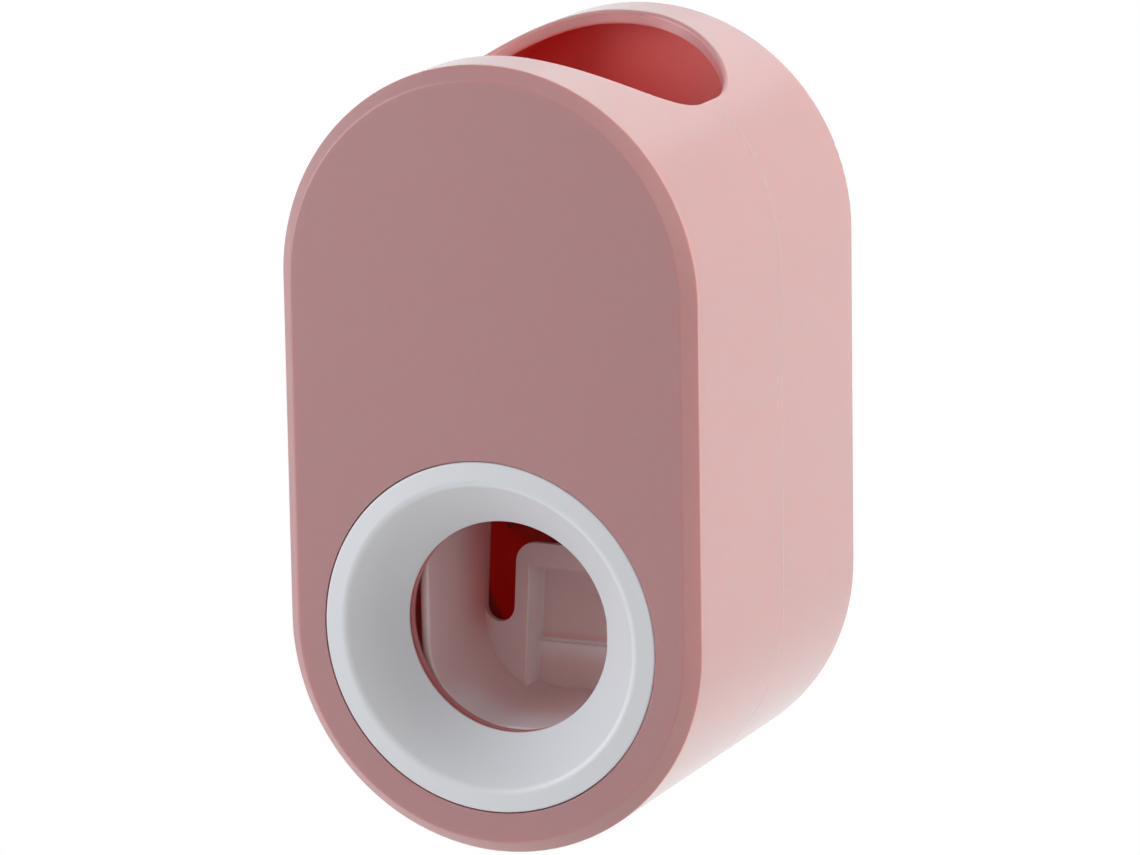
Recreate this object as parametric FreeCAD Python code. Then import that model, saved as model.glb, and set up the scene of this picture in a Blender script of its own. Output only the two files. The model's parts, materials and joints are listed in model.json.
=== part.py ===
import FreeCAD, Part
import math
import os
from FreeCAD import Vector

# A wall-hung toothpaste dispenser, in millimetres. The origin is the middle of the wall pad's
# outer face, with +X to the right, +Y into the wall and +Z up. Depths are counted backwards
# from the flat front face. Pushing a brush into the cup drives the piston, which presses paste
# from the tube's neck through the duckbill nozzle onto the bristles.

# Shell
body_width = 63.0
body_height = 112.4
body_depth = 60.6
bracket_height = 66.4
shell_wall = 2.0
front_wall = 2.2
rear_wall = 2.0
front_chamfer = 1.9
front_round = 0.6
rim_round = 0.3
rear_round = 1.0
seam_depth = 32.3
seam_bevel = 0.08
lip_length = 3.0
lip_wall = 0.9
lip_gap = 0.1
bead_radius = 0.5
bead_rise = 0.3
bead_gap = 0.1
bead_length = 9.0
bead_setback = 1.6

# Opening in the crown for the tube
opening_width = 41.9
opening_front_margin = 10.3
opening_rear_margin = 8.6
opening_corner = 18.5
opening_round = 0.5

# Funnel ring and its seat in the front shell
ring_radius = 25.25
ring_gap = 0.15
ring_crest_radius = 22.1
ring_crest_rise = 0.3
ring_crest_round = 1.2
ring_edge_round = 0.3
ring_wall = 1.6
ring_skirt_wall = 1.25
ring_skirt_depth = 3.0
ring_hollow_depth = 0.9
mouth_radius = 15.2
mouth_depth = 6.7
mouth_round = 0.25
seat_gap = 0.15
seat_wall = 1.8
collar_radius = 15.5
collar_length = 1.0
hook_count = 3
hook_angle = 12.0
hook_gap_angle = 0.6
hook_barb = 0.6
hook_barb_length = 1.2
hook_gap = 0.15

# Brush cup
cup_gap = 0.8
cup_length = 19.0
cup_half_width = 13.7
cup_floor_drop = 15.4
cup_corner = 11.3
cup_wall = 1.6
cup_back_wall = 1.0
cup_clearance = 1.0
cup_lip_round = 1.0
cup_rim_round = 0.4
tongue_half_width = 9.1
tongue_rise = 6.2
tongue_corner = 2.8
tongue_lean = 7.0
slot_drop = 5.6
pocket_half_width = 6.9
pocket_depth = 5.0
pocket_margin = 3.4
pocket_wall = 1.5
ledge_drop = 8.5
ledge_rise = 0.8
runner_height = 1.8
runner_reach = 1.9
runner_length = 7.9
runner_gap = 0.2
runner_stop_gap = 0.1
cheek_step = 9.0
cheek_slope = 5.0

# Pump block
deck_clearance = 14.0
deck_thickness = 4.2
deck_gap = 0.8
deck_nose = 5.0
groove_floor_gap = 0.3
bore_radius = 5.0
barrel_wall = 2.5
bore_rise = 5.5
flange_thickness = 2.5
flange_width = 43.0
flange_height = 17.5
flange_corner = 3.0
flange_clearance = 2.5
flange_tail_room = 4.27
socket_setback = 1.0
socket_wall = 1.9
socket_floor = 1.8
socket_depth = 8.0
inlet_radius = 3.2
outlet_radius = 1.8
channel_width = 4.0
channel_depth = 2.2
cover_wall = 1.3
cover_width = 11.0
cover_gap = 0.1
web_width = 8.0

# Piston, its seal and the plug at the rear of the barrel
piston_gap = 0.06
piston_length = 4.0
piston_clearance = 1.0
rod_radius = 3.0
rod_seat_depth = 2.0
seal_wire = 0.8
groove_gap = 0.05
plug_clearance = 1.0
plug_gap = 0.05
yoke_thickness = 3.5
yoke_setback = 1.0
yoke_clearance = 0.5
yoke_gap = 0.2
yoke_hub_radius = 5.0
yoke_bar_height = 7.0
yoke_tab_height = 4.0
yoke_tab_inset = 0.7

# Tube seal, its collar and the inlet flap
seal_radius = 8.0
seal_gap = 0.1
seal_bore_radius = 5.0
seal_bore_bevel = 0.8
seal_proud = 0.6
seal_cup_depth = 1.0
flap_thickness = 0.8
flap_radius = 4.2
flap_slit = 0.4
flap_hinge_width = 3.0
collar_gap = 0.15
collar_wall = 1.5
collar_top_wall = 1.6
collar_lift = 0.4
collar_bore_radius = 6.4
grip_count = 18
grip_radius = 0.9
grip_depth = 0.4

# Nozzle
nozzle_setback = 3.0
nozzle_radius = 3.0
nozzle_bore_radius = 2.0
nozzle_flange_radius = 4.5
nozzle_flange_thickness = 1.2
nozzle_reach = 3.6
nozzle_straight = 0.6
nozzle_tip_thickness = 1.5
nozzle_slit = 0.4
nozzle_slit_width = 4.0

# Return spring
spring_radius = 3.9
spring_wire = 0.9
spring_turns = 7
spring_gap = 0.3
spring_drop = 6.0
spring_seat_rise = 1.0
spring_seat_radius = 5.6
spring_foot = 0.9
post_length = 3.8
nub_length = 2.5

# Screws
screw_radius = 1.4
screw_length = 8.5
screw_head_radius = 2.6
screw_head_height = 1.6
screw_slot = 0.6
screw_slot_depth = 0.7
screw_clearance = 0.2
pilot_gap = 0.05
boss_radius = 3.4
boss_spread = 18.0
boss_margin = 4.0
piston_screw_length = 9.0

# Wall plate and pad
wall_gap = 0.8
pad_side = 40.0
pad_thickness = 1.0
pad_corner = 5.0
plate_side = 44.0
plate_wall = 2.0
plate_corner = 6.0
plate_margin = 0.5
stem_width = 16.0
stem_height = 10.0
head_width = 24.0
head_wall = 2.0
hang_gap = 0.2
side_gap = 0.4
lift_clearance = 1.0

# Places that follow from the sizes above
overshoot = 1.0
tolerance = 1e-3
wall_depth = body_depth + wall_gap
half_width = body_width / 2
bottom_z = -bracket_height
top_z = bottom_z + body_height
funnel_z = bottom_z + half_width
crown_z = top_z - half_width

ring_seat_radius = ring_radius + ring_gap
seat_back = ring_skirt_depth + seat_wall
cone_run = mouth_depth + ring_crest_rise
cone_drop = ring_crest_radius - mouth_radius
cone_length = math.hypot(cone_run, cone_drop)

cup_floor_z = funnel_z - cup_floor_drop
tongue_top_z = funnel_z + tongue_rise
deck_z = funnel_z + deck_clearance
deck_top_z = deck_z + deck_thickness
bore_z = deck_top_z + bore_rise
barrel_radius = bore_radius + barrel_wall
socket_radius = seal_radius + seal_gap + socket_wall
socket_floor_z = bore_z + bore_radius + socket_floor
socket_top_z = socket_floor_z + socket_depth
seal_top_z = socket_top_z + seal_proud
runner_z = deck_z + deck_thickness / 2
cheek_top_z = bore_z + yoke_hub_radius
cheek_rail_z = deck_top_z + runner_height
flange_top_z = deck_z + flange_height
deck_half_width = cup_half_width - deck_gap
spring_z = funnel_z - spring_drop
lean_z = funnel_z - slot_drop


def cone_point(offset):
    """Point (radius, depth) behind the mouth's edge, square to the funnel's cone."""
    return mouth_radius + offset * cone_run / cone_length, mouth_depth + offset * cone_drop / cone_length


def cone_radius(offset, depth):
    """Radius at a depth of the cone that lies this far behind the funnel's face."""
    radius, edge_depth = cone_point(offset)
    return radius + (edge_depth - depth) * cone_drop / cone_run


plate_front = wall_depth - pad_thickness - plate_wall
recess_floor = plate_front - hang_gap
tub_inner = recess_floor - rear_wall
head_rear = tub_inner - hang_gap
head_front = head_rear - head_wall
lift_travel = stem_height + lift_clearance
recess_half_width = plate_side / 2 + plate_margin
recess_top_z = recess_half_width
recess_bottom_z = -recess_half_width - lift_travel

collar_front = cone_point(ring_wall + seat_gap)[1]
collar_end = collar_front + collar_length
cup_front = collar_end + cup_gap
tongue_front = cup_front + cup_length
cup_rear = tongue_front + cup_back_wall
cup_reach = cup_rear + (cheek_rail_z - lean_z) * math.tan(math.radians(tongue_lean))
pan_rear = tongue_front + pocket_depth + pocket_wall
spring_front = pan_rear + spring_foot
yoke_front = cup_front + yoke_setback
yoke_rear = yoke_front + yoke_thickness

# The rod and the chamber each need the stroke, so it is half of the depth that is left over
pump_stack = yoke_clearance + piston_clearance + piston_length + plug_clearance
pump_stack += flange_clearance + flange_thickness + flange_tail_room
push_travel = (head_front - yoke_rear - pump_stack) / 2
barrel_front = yoke_rear + push_travel + yoke_clearance
piston_rear = barrel_front + piston_clearance
piston_face = piston_rear + piston_length
plug_face = piston_face + push_travel + plug_clearance
flange_front = max(cup_reach + push_travel + cup_clearance, plug_face + flange_clearance)
flange_rear = flange_front + flange_thickness
tube_depth = barrel_front + socket_setback + socket_radius
outlet_depth = plug_face - outlet_radius
nozzle_depth = tongue_front - nozzle_setback
deck_front = nozzle_depth - deck_nose
runner_front = cup_rear - runner_length
spring_seat = tub_inner - spring_seat_rise


def at(x, depth, z):
    return Vector(x, depth - wall_depth, z)


def block(x_low, x_high, depth_low, depth_high, z_low, z_high):
    return Part.makeBox(x_high - x_low, depth_high - depth_low, z_high - z_low, at(x_low, depth_low, z_low))


def level_rod(radius, depth_low, depth_high, x, z):
    return Part.makeCylinder(radius, depth_high - depth_low, at(x, depth_low, z), Vector(0, 1, 0))


def upright_rod(radius, z_low, z_high, x, depth):
    return Part.makeCylinder(radius, z_high - z_low, at(x, depth, z_low))


def polygon_face(points):
    return Part.Face(Part.makePolygon(points + points[:1]))


def turned_level(outline, z, angle=360.0):
    """Turn a (radius, depth) outline about the depth axis at height z."""
    face = polygon_face([at(radius, depth, z) for radius, depth in outline])
    return face.revolve(at(0, 0, z), Vector(0, 1, 0), angle)


def turned_upright(outline, depth):
    """Turn a (radius, height) outline about the vertical axis at a depth."""
    face = polygon_face([at(radius, depth, z) for radius, z in outline])
    return face.revolve(at(0, depth, 0), Vector(0, 0, 1), 360.0)


def rounded_face(u_low, u_high, v_low, v_high, corner, place):
    """Rounded rectangle in two directions that place() puts in space."""
    near = corner * (1 - math.sqrt(0.5))
    turns = []
    for u, v, u_side, v_side in ((u_high, v_low, -1, 1), (u_high, v_high, -1, -1),
                                 (u_low, v_high, 1, -1), (u_low, v_low, 1, 1)):
        along_u = place(u + u_side * corner, v)
        along_v = place(u, v + v_side * corner)
        middle = place(u + u_side * near, v + v_side * near)
        first, last = (along_u, along_v) if u_side * v_side < 0 else (along_v, along_u)
        turns.append((first, middle, last))
    edges = []
    for turn, following in zip(turns, turns[1:] + turns[:1]):
        edges.append(Part.Arc(*turn).toShape())
        if (following[0] - turn[2]).Length > tolerance:
            edges.append(Part.makeLine(turn[2], following[0]))
    return Part.Face(Part.Wire(edges))


def panel(half, z_low, z_high, corner, depth_low, depth_high):
    """Upright rounded panel, square to the depth."""
    face = rounded_face(-half, half, z_low, z_high, corner, lambda x, z: at(x, depth_low, z))
    return face.extrude(Vector(0, depth_high - depth_low, 0))


def pill(inset, depth_low, depth_high):
    """The shell's obround outline, drawn in by inset, between two depths."""
    half = half_width - inset
    return panel(half, bottom_z + inset, top_z - inset, half, depth_low, depth_high)


def edges_at_depth(shape, depth):
    y = depth - wall_depth
    flat = [edge for edge in shape.Edges if edge.BoundBox.YLength < tolerance]
    return [edge for edge in flat if abs(edge.BoundBox.YMin - y) < tolerance]


def crown_opening():
    front = opening_front_margin
    rear = body_depth - opening_rear_margin
    corner = min(opening_corner, opening_width / 2, (rear - front) / 2)
    face = rounded_face(-opening_width / 2, opening_width / 2, front, rear, corner,
                        lambda x, depth: at(x, depth, crown_z))
    return face.extrude(Vector(0, 0, half_width + overshoot))


def on_shell_surface(point):
    above = max(point.z - crown_z, 0.0)
    below = max(funnel_z - point.z, 0.0)
    return abs(math.hypot(point.x, above + below) - half_width) < tolerance


def edge_middle(edge):
    return edge.valueAt((edge.FirstParameter + edge.LastParameter) / 2)


def edges_on(edges, solid):
    """Those of the edges whose middle lies on a solid."""
    return [edge for edge in edges if Part.Vertex(edge_middle(edge)).distToShape(solid)[0] < tolerance]


def open_crown(shell):
    """Cut the tube opening and round its outer edge."""
    opening = crown_opening()
    cut = shell.cut(opening)
    lip = [edge for edge in edges_on(cut.Edges, opening) if on_shell_surface(edge_middle(edge))]
    return cut.makeFillet(opening_round, lip)


def bead_rods(grow):
    """Four upright snap beads on the straight sides, just inside the seam."""
    inset = shell_wall - lip_wall + bead_radius - bead_rise
    rods = []
    for side in (-1, 1):
        for z in (funnel_z + bead_length, crown_z - bead_length):
            x = side * (half_width - inset)
            depth = seam_depth - bead_setback
            rods.append(upright_rod(bead_radius + grow, z - bead_length / 2 - grow,
                                    z + bead_length / 2 + grow, x, depth))
    return Part.makeCompound(rods)


def hook_sectors(outline, extra_angle):
    """The same turned outline at each hook of the funnel ring."""
    sweep = hook_angle + 2 * extra_angle
    sectors = []
    for index in range(hook_count):
        sector = turned_level(outline, funnel_z, sweep)
        turn = 90.0 + index * 360.0 / hook_count + sweep / 2
        sector.rotate(at(0, 0, funnel_z), Vector(0, 1, 0), -turn)
        sectors.append(sector)
    return Part.makeCompound(sectors)


def ring_seat():
    """Dished seat and collar behind the funnel ring, turned on the mouth's axis."""
    front = ring_wall + seat_gap
    back = front + seat_wall
    return turned_level([
        (ring_seat_radius, front_wall / 2),
        (ring_seat_radius, ring_skirt_depth),
        (cone_radius(front, ring_skirt_depth), ring_skirt_depth),
        cone_point(front),
        (collar_radius, collar_front),
        (collar_radius, collar_end),
        (cone_radius(back, collar_end), collar_end),
        (cone_radius(back, seat_back), seat_back),
        (ring_seat_radius + seat_wall, seat_back),
        (ring_seat_radius + seat_wall, front_wall / 2),
    ], funnel_z)


def make_front_housing():
    outer = pill(0, 0, seam_depth)
    outer = outer.makeChamfer(front_chamfer, edges_at_depth(outer, 0))
    outer = outer.makeFillet(front_round, edges_at_depth(outer, 0))
    outer = outer.makeFillet(rim_round, edges_at_depth(outer, front_chamfer))
    outer = outer.makeChamfer(seam_bevel, edges_at_depth(outer, seam_depth))
    cavity = pill(shell_wall, front_wall, seam_depth + overshoot)
    inner_chamfer = max(front_chamfer - (2 - math.sqrt(2)) * shell_wall, rim_round)
    cavity = cavity.makeChamfer(inner_chamfer, edges_at_depth(cavity, front_wall))
    rabbet = pill(shell_wall - lip_wall - lip_gap, seam_depth - lip_length - lip_gap, seam_depth + overshoot)
    mouth = level_rod(ring_seat_radius, -overshoot, ring_skirt_depth, 0, funnel_z)
    shell = outer.cut(cavity).cut(rabbet).cut(mouth).fuse(ring_seat())
    hook_slot = [(ring_radius - ring_skirt_wall - hook_gap, front_wall),
                 (ring_seat_radius, front_wall),
                 (ring_seat_radius, seat_back + overshoot),
                 (ring_radius - ring_skirt_wall - hook_gap, seat_back + overshoot)]
    shell = shell.cut(hook_sectors(hook_slot, hook_gap_angle)).cut(bead_rods(bead_gap))
    return open_crown(shell.removeSplitter())


def boss_places():
    for x in (-boss_spread, boss_spread):
        for z in (deck_z + boss_margin, flange_top_z - boss_margin):
            yield x, z


def keyhole():
    """T-shaped cut in the recess floor: narrow where the stem hangs, wide below to let the head in."""
    top = stem_height / 2 + hang_gap
    step = -stem_height / 2 - hang_gap
    foot = step - lift_travel
    narrow = stem_width / 2 + side_gap
    wide = head_width / 2 + side_gap
    depth_low = tub_inner - overshoot
    depth_high = recess_floor + overshoot
    upper = block(-narrow, narrow, depth_low, depth_high, step - overshoot, top)
    lower = block(-wide, wide, depth_low, depth_high, foot, step)
    return upper.fuse(lower)


def make_rear_housing():
    outer = pill(0, seam_depth, body_depth)
    outer = outer.makeFillet(rear_round, edges_at_depth(outer, body_depth))
    outer = outer.makeChamfer(seam_bevel, edges_at_depth(outer, seam_depth))
    cavity = pill(shell_wall, seam_depth - overshoot, body_depth - rear_wall)
    lip_inset = shell_wall - lip_wall
    lip = pill(lip_inset, seam_depth - lip_length, seam_depth + shell_wall)
    lip = lip.cut(pill(shell_wall, seam_depth - lip_length - overshoot, seam_depth + shell_wall + overshoot))
    tub_half = recess_half_width + rear_wall
    tub = panel(tub_half, recess_bottom_z - rear_wall, recess_top_z + rear_wall, plate_corner + rear_wall,
                tub_inner, body_depth - rear_wall / 2)
    shell = outer.cut(cavity).fuse([lip, tub, bead_rods(0)])
    posts = [level_rod(boss_radius, flange_rear, body_depth - rear_wall / 2, x, z) for x, z in boss_places()]
    posts.append(level_rod(spring_seat_radius, spring_seat, body_depth - rear_wall / 2, 0, spring_z))
    post_radius = spring_radius - spring_wire / 2 - spring_gap
    posts.append(level_rod(post_radius, spring_seat - post_length, spring_seat, 0, spring_z))
    shell = shell.fuse(posts)
    recess = panel(recess_half_width, recess_bottom_z, recess_top_z, plate_corner,
                   recess_floor, body_depth + overshoot)
    shell = shell.cut(recess).cut(keyhole())
    for x, z in boss_places():
        shell = shell.cut(level_rod(screw_radius + pilot_gap, flange_rear - overshoot,
                                    flange_front + screw_length + overshoot, x, z))
    return open_crown(shell.removeSplitter())


def make_funnel_ring():
    hollow_radius = cone_radius(ring_wall, ring_hollow_depth)
    skirt_inner = ring_radius - ring_skirt_wall
    ring = turned_level([
        (ring_radius, ring_skirt_depth),
        (ring_radius, 0),
        (ring_crest_radius, -ring_crest_rise),
        (mouth_radius, mouth_depth),
        cone_point(ring_wall),
        (hollow_radius, ring_hollow_depth),
        (skirt_inner, ring_hollow_depth),
        (skirt_inner, ring_skirt_depth),
    ], funnel_z)
    ring = ring.makeFillet(ring_crest_round, edges_at_depth(ring, -ring_crest_rise))
    ring = ring.makeFillet(ring_edge_round, edges_at_depth(ring, 0))
    ring = ring.makeFillet(mouth_round, edges_at_depth(ring, mouth_depth))
    barb_front = seat_back + hook_gap
    hook = [(skirt_inner, ring_hollow_depth),
            (ring_radius, ring_hollow_depth),
            (ring_radius, barb_front),
            (ring_radius + hook_barb, barb_front),
            (ring_radius, barb_front + hook_barb_length),
            (skirt_inner, barb_front + hook_barb_length)]
    return ring.fuse(hook_sectors(hook, 0)).removeSplitter()


def trough(half, floor_z, corner, top, depth_low, depth_high):
    """U-shaped prism: upright sides, rounded bottom corners, flat top."""
    near = corner * (1 - math.sqrt(0.5))

    def spot(x, z):
        return at(x, depth_low, z)

    edges = [
        Part.makeLine(spot(-half, top), spot(-half, floor_z + corner)),
        Part.Arc(spot(-half, floor_z + corner), spot(-half + near, floor_z + near),
                 spot(-half + corner, floor_z)).toShape(),
        Part.makeLine(spot(-half + corner, floor_z), spot(half - corner, floor_z)),
        Part.Arc(spot(half - corner, floor_z), spot(half - near, floor_z + near),
                 spot(half, floor_z + corner)).toShape(),
        Part.makeLine(spot(half, floor_z + corner), spot(half, top)),
        Part.makeLine(spot(half, top), spot(-half, top)),
    ]
    return Part.Face(Part.Wire(edges)).extrude(Vector(0, depth_high - depth_low, 0))


def cup_space(top, depth_low, depth_high):
    return trough(cup_half_width, cup_floor_z, cup_corner, top, depth_low, depth_high)


def cup_body(top, depth_low, depth_high):
    return trough(cup_half_width + cup_wall, cup_floor_z - cup_wall, cup_corner + cup_wall, top,
                  depth_low, depth_high)


def leaning(shape):
    """Tip a shape back by the tongue's lean, about the tongue's face at the foot of its slots."""
    shape.rotate(at(0, tongue_front, lean_z), Vector(1, 0, 0), -tongue_lean)
    return shape


def behind_tongue(offset):
    """All that is further back than a plane this far behind the leaning face of the tongue."""
    low = tongue_front + offset
    return leaning(block(-half_width, half_width, low, low + body_depth, bottom_z, top_z))


def back_window():
    """What is cut from the cup's back wall: two slots beside the tongue, open at the top."""
    slot_radius = (cup_half_width - tongue_half_width) / 2
    slot_x = cup_half_width - slot_radius
    slot_z = lean_z + slot_radius
    low = tongue_front - overshoot
    window = block(-cup_half_width, cup_half_width, low, wall_depth, slot_z, cheek_top_z + overshoot)
    for side in (-1, 1):
        window = window.fuse(level_rod(slot_radius, low, wall_depth, side * slot_x, slot_z))
    tongue = panel(tongue_half_width, cup_floor_z, tongue_top_z, tongue_corner, low, wall_depth)
    return window.cut(tongue)


def tongue_pocket():
    """Dished panel in the tongue, deeper above its ledge."""
    ledge_z = funnel_z - ledge_drop
    front = tongue_front - overshoot
    floor = tongue_front + pocket_depth
    upper = block(-pocket_half_width, pocket_half_width, front, floor, ledge_z, tongue_top_z - pocket_margin)
    lower = block(-pocket_half_width, pocket_half_width, front, floor - ledge_rise, bottom_z, ledge_z)
    return leaning(upper.fuse(lower)).common(cup_space(cheek_top_z, cup_front, wall_depth))


def tongue_pan():
    """Box behind the tongue that closes its pocket, with a level foot and a nub for the spring."""
    half = pocket_half_width + pocket_wall
    top = tongue_top_z - pocket_margin + pocket_wall
    pan = leaning(block(-half, half, cup_rear - cup_back_wall / 2, pan_rear, bottom_z, top))
    pan = pan.common(cup_body(cheek_top_z, cup_front, wall_depth))
    foot = level_rod(spring_seat_radius, pan_rear - pocket_wall / 2, spring_front, 0, spring_z)
    nub_radius = spring_radius - spring_wire / 2 - spring_gap
    nub = level_rod(nub_radius, pan_rear - pocket_wall / 2, spring_front + nub_length, 0, spring_z)
    return pan.fuse([foot, nub])


def cheek_cut():
    """Lowers the cup's cheeks behind the yoke, down to the height of their runners."""
    step = yoke_rear + cheek_step - cheek_slope
    outline = [at(-half_width, step, cheek_top_z + overshoot),
               at(-half_width, step, cheek_top_z),
               at(-half_width, step + cheek_slope, cheek_rail_z),
               at(-half_width, wall_depth, cheek_rail_z),
               at(-half_width, wall_depth, cheek_top_z + overshoot)]
    return polygon_face(outline).extrude(Vector(body_width, 0, 0))


def cup_runners():
    """Level ribs inside the cheeks that slide in the pump deck's grooves."""
    runners = []
    for side in (-1, 1):
        inner = side * (cup_half_width - runner_reach)
        outer = side * (cup_half_width + cup_wall / 2)
        runners.append(block(min(inner, outer), max(inner, outer), runner_front, cup_rear,
                             runner_z - runner_height / 2, runner_z + runner_height / 2))
    return runners


def make_brush_cup():
    body = cup_body(cheek_top_z, cup_front, wall_depth)
    body = body.makeFillet(cup_lip_round, edges_at_depth(body, cup_front)).cut(behind_tongue(cup_back_wall))
    space = cup_space(cheek_top_z + overshoot, cup_front - overshoot, wall_depth).cut(behind_tongue(0))
    cup = body.cut(space)
    cup = cup.makeFillet(cup_rim_round, edges_on(edges_at_depth(cup, cup_front), space))
    cup = cup.fuse(tongue_pan())
    cup = cup.cut(back_window()).cut(tongue_pocket()).cut(cheek_cut()).fuse(cup_runners())
    tab_half = yoke_tab_height / 2 + yoke_gap
    slot = block(-half_width, half_width, yoke_front + yoke_tab_inset - yoke_gap,
                 yoke_rear - yoke_tab_inset + yoke_gap, bore_z - tab_half, bore_z + tab_half)
    return cup.cut(slot).removeSplitter()


def make_piston_yoke():
    bar_half = cup_half_width - yoke_gap
    bar = panel(bar_half, bore_z - yoke_bar_height / 2, bore_z + yoke_bar_height / 2, runner_height / 2,
                yoke_front, yoke_rear)
    hub = level_rod(yoke_hub_radius, yoke_front, yoke_rear, 0, bore_z)
    tab_half = cup_half_width + cup_wall
    tabs = block(-tab_half, tab_half, yoke_front + yoke_tab_inset, yoke_rear - yoke_tab_inset,
                 bore_z - yoke_tab_height / 2, bore_z + yoke_tab_height / 2)
    seat = level_rod(rod_radius + groove_gap, yoke_rear - rod_seat_depth, yoke_rear + overshoot, 0, bore_z)
    hole = level_rod(screw_radius + screw_clearance, yoke_front - overshoot, yoke_rear, 0, bore_z)
    return bar.fuse([hub, tabs]).cut(seat).cut(hole).removeSplitter()


def make_piston():
    head = bore_radius - piston_gap
    groove = bore_radius - piston_gap - 2 * seal_wire
    middle = piston_rear + piston_length / 2
    half_groove = seal_wire + groove_gap
    piston = turned_level([
        (0, yoke_rear - rod_seat_depth),
        (rod_radius, yoke_rear - rod_seat_depth),
        (rod_radius, piston_rear),
        (head, piston_rear),
        (head, middle - half_groove),
        (groove, middle - half_groove),
        (groove, middle + half_groove),
        (head, middle + half_groove),
        (head, piston_face),
        (0, piston_face),
    ], bore_z)
    pilot = level_rod(screw_radius + pilot_gap, yoke_front, yoke_front + piston_screw_length + overshoot,
                      0, bore_z)
    return piston.cut(pilot)


def level_ring(radius, wire, depth):
    return Part.makeTorus(radius, wire, at(0, depth, bore_z), Vector(0, 1, 0))


def make_piston_seal():
    return level_ring(bore_radius - piston_gap - seal_wire, seal_wire, piston_rear + piston_length / 2)


def plug_seal_depth():
    return (plug_face + flange_rear) / 2


def make_cylinder_plug():
    outer = bore_radius - plug_gap
    groove = outer - 2 * seal_wire
    half_groove = seal_wire + groove_gap
    depth = plug_seal_depth()
    return turned_level([
        (0, plug_face),
        (outer, plug_face),
        (outer, depth - half_groove),
        (groove, depth - half_groove),
        (groove, depth + half_groove),
        (outer, depth + half_groove),
        (outer, flange_rear),
        (0, flange_rear),
    ], bore_z)


def make_plug_seal():
    return level_ring(bore_radius - plug_gap - seal_wire, seal_wire, plug_seal_depth())


def cover_span():
    margin = nozzle_flange_radius + cover_wall
    return nozzle_depth - margin, outlet_depth + margin - nozzle_flange_radius + outlet_radius


def make_pump_block():
    deck = block(-deck_half_width, deck_half_width, deck_front, flange_rear, deck_z, deck_top_z)
    web = block(-web_width / 2, web_width / 2, barrel_front, flange_rear, deck_z, bore_z)
    barrel = level_rod(barrel_radius, barrel_front, flange_rear, 0, bore_z)
    flange = panel(flange_width / 2, deck_z, flange_top_z, flange_corner, flange_front, flange_rear)
    socket = upright_rod(socket_radius, bore_z, socket_top_z, 0, tube_depth)
    pump = deck.fuse([web, barrel, flange, socket])
    channel_top = deck_z + cover_wall + channel_depth
    cover_front, cover_rear = cover_span()
    groove_half = runner_height / 2 + runner_gap
    groove_inner = cup_half_width - runner_reach - groove_floor_gap
    cuts = [
        level_rod(bore_radius, barrel_front - overshoot, flange_rear + overshoot, 0, bore_z),
        upright_rod(seal_radius + seal_gap, socket_floor_z, socket_top_z + overshoot, 0, tube_depth),
        upright_rod(inlet_radius, bore_z, socket_floor_z + overshoot, 0, tube_depth),
        upright_rod(outlet_radius, deck_z + cover_wall, bore_z, 0, outlet_depth),
        block(-channel_width / 2, channel_width / 2, nozzle_depth, outlet_depth, deck_z, channel_top),
        upright_rod(nozzle_flange_radius + cover_gap, deck_z, deck_z + cover_wall + nozzle_flange_thickness,
                    0, nozzle_depth),
        block(-cover_width / 2 - cover_gap, cover_width / 2 + cover_gap, cover_front - cover_gap,
              cover_rear + cover_gap, deck_z - overshoot, deck_z + cover_wall),
    ]
    for side in (-1, 1):
        inner = side * groove_inner
        outer = side * (deck_half_width + overshoot)
        cuts.append(block(min(inner, outer), max(inner, outer), runner_front - runner_stop_gap, flange_front,
                          runner_z - groove_half, runner_z + groove_half))
    for x, z in boss_places():
        cuts.append(level_rod(screw_radius + screw_clearance, flange_front - overshoot,
                              flange_rear + overshoot, x, z))
    for cut in cuts:
        pump = pump.cut(cut)
    return pump.removeSplitter()


def make_channel_cover():
    front, rear = cover_span()
    plate = block(-cover_width / 2, cover_width / 2, front, rear, deck_z, deck_z + cover_wall)
    return plate.cut(upright_rod(nozzle_radius + cover_gap, deck_z - overshoot,
                                 deck_z + cover_wall + overshoot, 0, nozzle_depth))


def make_nozzle():
    flange_z = deck_z + cover_wall
    tip_z = deck_z - nozzle_reach
    shoulder_z = deck_z - nozzle_straight
    flange = upright_rod(nozzle_flange_radius, flange_z, flange_z + nozzle_flange_thickness, 0, nozzle_depth)
    stalk = upright_rod(nozzle_radius, tip_z, flange_z + nozzle_flange_thickness / 2, 0, nozzle_depth)
    tip = nozzle_tip_thickness / 2
    left = -nozzle_radius - overshoot
    bill = polygon_face([at(left, nozzle_depth - tip, tip_z), at(left, nozzle_depth + tip, tip_z),
                         at(left, nozzle_depth + nozzle_radius, shoulder_z),
                         at(left, nozzle_depth + nozzle_radius, flange_z + nozzle_flange_thickness),
                         at(left, nozzle_depth - nozzle_radius, flange_z + nozzle_flange_thickness),
                         at(left, nozzle_depth - nozzle_radius, shoulder_z)])
    bill = bill.extrude(Vector(2 * (nozzle_radius + overshoot), 0, 0))
    body = stalk.common(bill).fuse(flange)
    bore = upright_rod(nozzle_bore_radius, shoulder_z, flange_z + nozzle_flange_thickness + overshoot,
                       0, nozzle_depth)
    slit = block(-nozzle_slit_width / 2, nozzle_slit_width / 2, nozzle_depth - nozzle_slit / 2,
                 nozzle_depth + nozzle_slit / 2, tip_z - overshoot, shoulder_z + overshoot)
    return body.cut(bore).cut(slit).removeSplitter()


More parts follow.
